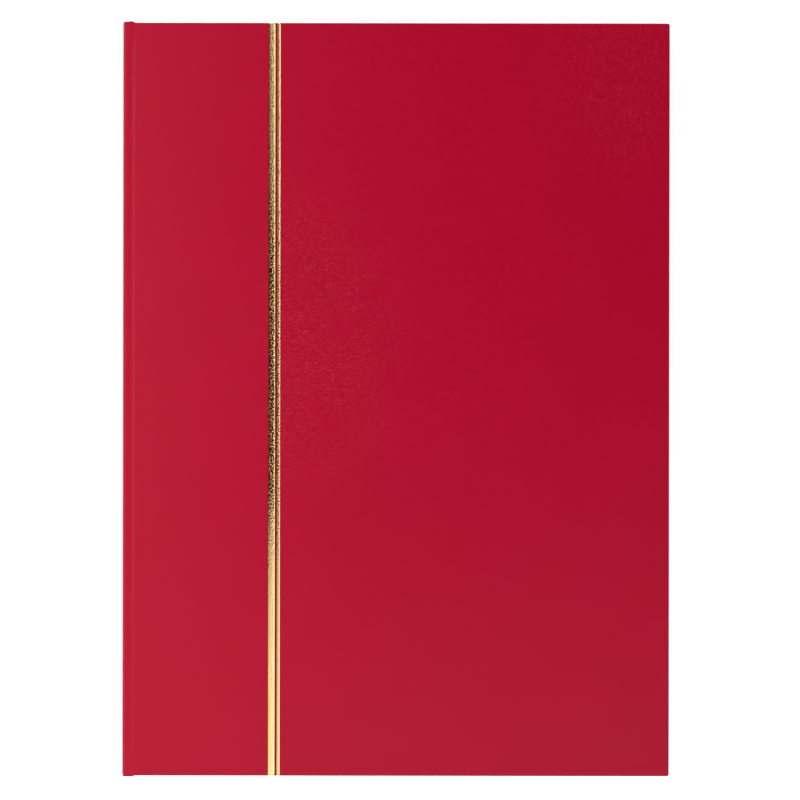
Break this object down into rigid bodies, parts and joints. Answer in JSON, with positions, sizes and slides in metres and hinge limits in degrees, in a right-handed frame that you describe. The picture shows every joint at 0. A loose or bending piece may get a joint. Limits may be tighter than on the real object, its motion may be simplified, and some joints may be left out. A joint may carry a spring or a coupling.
{
  "type": "stamp album",
  "caption": "Closed stockbook for stamps: hard case in red leather-look cloth with two gold bands, black card leaves with clear strips, glassine interleaves and flexing joints.",
  "frame": {"origin": "middle of the closed album's footprint, on the surface that it lies on", "axes": "+X from the spine to the fore-edge, +Y from the tail to the head, +Z from the back cover up to the front cover"},
  "size_m": [0.222, 0.306, 0.015],
  "materials": {
    "red_leatherette": "satin",
    "gold_foil": "gloss",
    "greyboard": "matte",
    "endpaper": "matte",
    "black_card": "matte",
    "clear_strip": "gloss",
    "black_linen": "matte",
    "glassine": "satin",
    "headband_cotton": "satin",
    "spine_lining": "matte"
  },
  "bodies": {
    "back_cover": {"back_board": "greyboard", "back_leatherette": "red_leatherette", "back_endpaper": "endpaper"},
    "spine": {"spine_board": "greyboard", "spine_leatherette": "red_leatherette", "spine_lining": "spine_lining", "headband": "headband_cotton", "tailband": "headband_cotton", "leaf_guards": "black_card", "interleaf_stubs": "glassine", "back_joint": "red_leatherette", "back_endpaper_hinge": "endpaper", "front_joint": "red_leatherette", "front_endpaper_hinge": "endpaper"},
    "front_cover": {"front_board": "greyboard", "front_leatherette": "red_leatherette", "front_endpaper": "endpaper", "wide_gold_band": "gold_foil", "narrow_gold_band": "gold_foil"},
    "leaf_1": {"leaf_1_card": "black_card", "leaf_1_front_strips": "clear_strip", "leaf_1_back_strips": "clear_strip", "leaf_1_linen_hinge": "black_linen"},
    "leaf_2": {"leaf_2_card": "black_card", "leaf_2_front_strips": "clear_strip", "leaf_2_back_strips": "clear_strip", "leaf_2_linen_hinge": "black_linen"},
    "leaf_3": {"leaf_3_card": "black_card", "leaf_3_front_strips": "clear_strip", "leaf_3_back_strips": "clear_strip", "leaf_3_linen_hinge": "black_linen"},
    "leaf_4": {"leaf_4_card": "black_card", "leaf_4_front_strips": "clear_strip", "leaf_4_back_strips": "clear_strip", "leaf_4_linen_hinge": "black_linen"},
    "leaf_5": {"leaf_5_card": "black_card", "leaf_5_front_strips": "clear_strip", "leaf_5_back_strips": "clear_strip", "leaf_5_linen_hinge": "black_linen"},
    "leaf_6": {"leaf_6_card": "black_card", "leaf_6_front_strips": "clear_strip", "leaf_6_back_strips": "clear_strip", "leaf_6_linen_hinge": "black_linen"},
    "leaf_7": {"leaf_7_card": "black_card", "leaf_7_front_strips": "clear_strip", "leaf_7_back_strips": "clear_strip", "leaf_7_linen_hinge": "black_linen"},
    "leaf_8": {"leaf_8_card": "black_card", "leaf_8_front_strips": "clear_strip", "leaf_8_back_strips": "clear_strip", "leaf_8_linen_hinge": "black_linen"},
    "interleaf_1": {"interleaf_1": "glassine"},
    "interleaf_2": {"interleaf_2": "glassine"},
    "interleaf_3": {"interleaf_3": "glassine"},
    "interleaf_4": {"interleaf_4": "glassine"},
    "interleaf_5": {"interleaf_5": "glassine"},
    "interleaf_6": {"interleaf_6": "glassine"},
    "interleaf_7": {"interleaf_7": "glassine"}
  },
  "joints": [
    {"name": "spine_hinge", "type": "hinge", "parent": "back_cover", "child": "spine", "pos_m": [-0.1095, 0, 0.0015], "axis": [0, -1, 0], "range_deg": [0, 90], "deforming": ["back_joint", "back_endpaper_hinge"]},
    {"name": "front_hinge", "type": "hinge", "parent": "spine", "child": "front_cover", "pos_m": [-0.1095, 0, 0.0135], "axis": [0, -1, 0], "range_deg": [0, 90], "deforming": ["front_joint", "front_endpaper_hinge"]},
    {"name": "leaf_1_turn", "type": "hinge", "parent": "spine", "child": "leaf_1", "pos_m": [-0.10744, 0, 0.01144], "axis": [0, -1, 0], "range_deg": [0, 90], "deforming": ["leaf_1_linen_hinge"]},
    {"name": "leaf_2_turn", "type": "hinge", "parent": "spine", "child": "leaf_2", "pos_m": [-0.10631, 0, 0.01031], "axis": [0, -1, 0], "range_deg": [0, 90], "deforming": ["leaf_2_linen_hinge"]},
    {"name": "leaf_3_turn", "type": "hinge", "parent": "spine", "child": "leaf_3", "pos_m": [-0.10519, 0, 0.00919], "axis": [0, -1, 0], "range_deg": [0, 90], "deforming": ["leaf_3_linen_hinge"]},
    {"name": "leaf_4_turn", "type": "hinge", "parent": "spine", "child": "leaf_4", "pos_m": [-0.10406, 0, 0.00806], "axis": [0, -1, 0], "range_deg": [0, 90], "deforming": ["leaf_4_linen_hinge"]},
    {"name": "leaf_5_turn", "type": "hinge", "parent": "spine", "child": "leaf_5", "pos_m": [-0.10406, 0, 0.00694], "axis": [0, -1, 0], "range_deg": [-90, 0], "deforming": ["leaf_5_linen_hinge"]},
    {"name": "leaf_6_turn", "type": "hinge", "parent": "spine", "child": "leaf_6", "pos_m": [-0.10519, 0, 0.00581], "axis": [0, -1, 0], "range_deg": [-90, 0], "deforming": ["leaf_6_linen_hinge"]},
    {"name": "leaf_7_turn", "type": "hinge", "parent": "spine", "child": "leaf_7", "pos_m": [-0.10631, 0, 0.00469], "axis": [0, -1, 0], "range_deg": [-90, 0], "deforming": ["leaf_7_linen_hinge"]},
    {"name": "leaf_8_turn", "type": "hinge", "parent": "spine", "child": "leaf_8", "pos_m": [-0.10744, 0, 0.00356], "axis": [0, -1, 0], "range_deg": [-90, 0], "deforming": ["leaf_8_linen_hinge"]},
    {"name": "interleaf_1_turn", "type": "hinge", "parent": "spine", "child": "interleaf_1", "pos_m": [-0.10687, 0, 0.01087], "axis": [0, -1, 0], "range_deg": [0, 90]},
    {"name": "interleaf_2_turn", "type": "hinge", "parent": "spine", "child": "interleaf_2", "pos_m": [-0.10575, 0, 0.00975], "axis": [0, -1, 0], "range_deg": [0, 90]},
    {"name": "interleaf_3_turn", "type": "hinge", "parent": "spine", "child": "interleaf_3", "pos_m": [-0.10462, 0, 0.00863], "axis": [0, -1, 0], "range_deg": [0, 90]},
    {"name": "interleaf_4_turn", "type": "hinge", "parent": "spine", "child": "interleaf_4", "pos_m": [-0.1035, 0, 0.0075], "axis": [0, -1, 0], "range_deg": [-90, 0]},
    {"name": "interleaf_5_turn", "type": "hinge", "parent": "spine", "child": "interleaf_5", "pos_m": [-0.10462, 0, 0.00637], "axis": [0, -1, 0], "range_deg": [-90, 0]},
    {"name": "interleaf_6_turn", "type": "hinge", "parent": "spine", "child": "interleaf_6", "pos_m": [-0.10575, 0, 0.00525], "axis": [0, -1, 0], "range_deg": [-90, 0]},
    {"name": "interleaf_7_turn", "type": "hinge", "parent": "spine", "child": "interleaf_7", "pos_m": [-0.10687, 0, 0.00413], "axis": [0, -1, 0], "range_deg": [-90, 0]}
  ],
  "couplings": [
    {"joint": "leaf_1_turn", "follows": "front_hinge", "ratio": 0.985},
    {"joint": "leaf_2_turn", "follows": "front_hinge", "ratio": 0.97},
    {"joint": "leaf_3_turn", "follows": "front_hinge", "ratio": 0.955},
    {"joint": "leaf_4_turn", "follows": "front_hinge", "ratio": 0.94},
    {"joint": "leaf_5_turn", "follows": "spine_hinge", "ratio": -0.94},
    {"joint": "leaf_6_turn", "follows": "spine_hinge", "ratio": -0.955},
    {"joint": "leaf_7_turn", "follows": "spine_hinge", "ratio": -0.97},
    {"joint": "leaf_8_turn", "follows": "spine_hinge", "ratio": -0.985},
    {"joint": "interleaf_1_turn", "follows": "front_hinge", "ratio": 0.9775},
    {"joint": "interleaf_2_turn", "follows": "front_hinge", "ratio": 0.9625},
    {"joint": "interleaf_3_turn", "follows": "front_hinge", "ratio": 0.9475},
    {"joint": "interleaf_4_turn", "follows": "spine_hinge", "ratio": -0.55},
    {"joint": "interleaf_5_turn", "follows": "spine_hinge", "ratio": -0.9475},
    {"joint": "interleaf_6_turn", "follows": "spine_hinge", "ratio": -0.9625},
    {"joint": "interleaf_7_turn", "follows": "spine_hinge", "ratio": -0.9775}
  ]
}
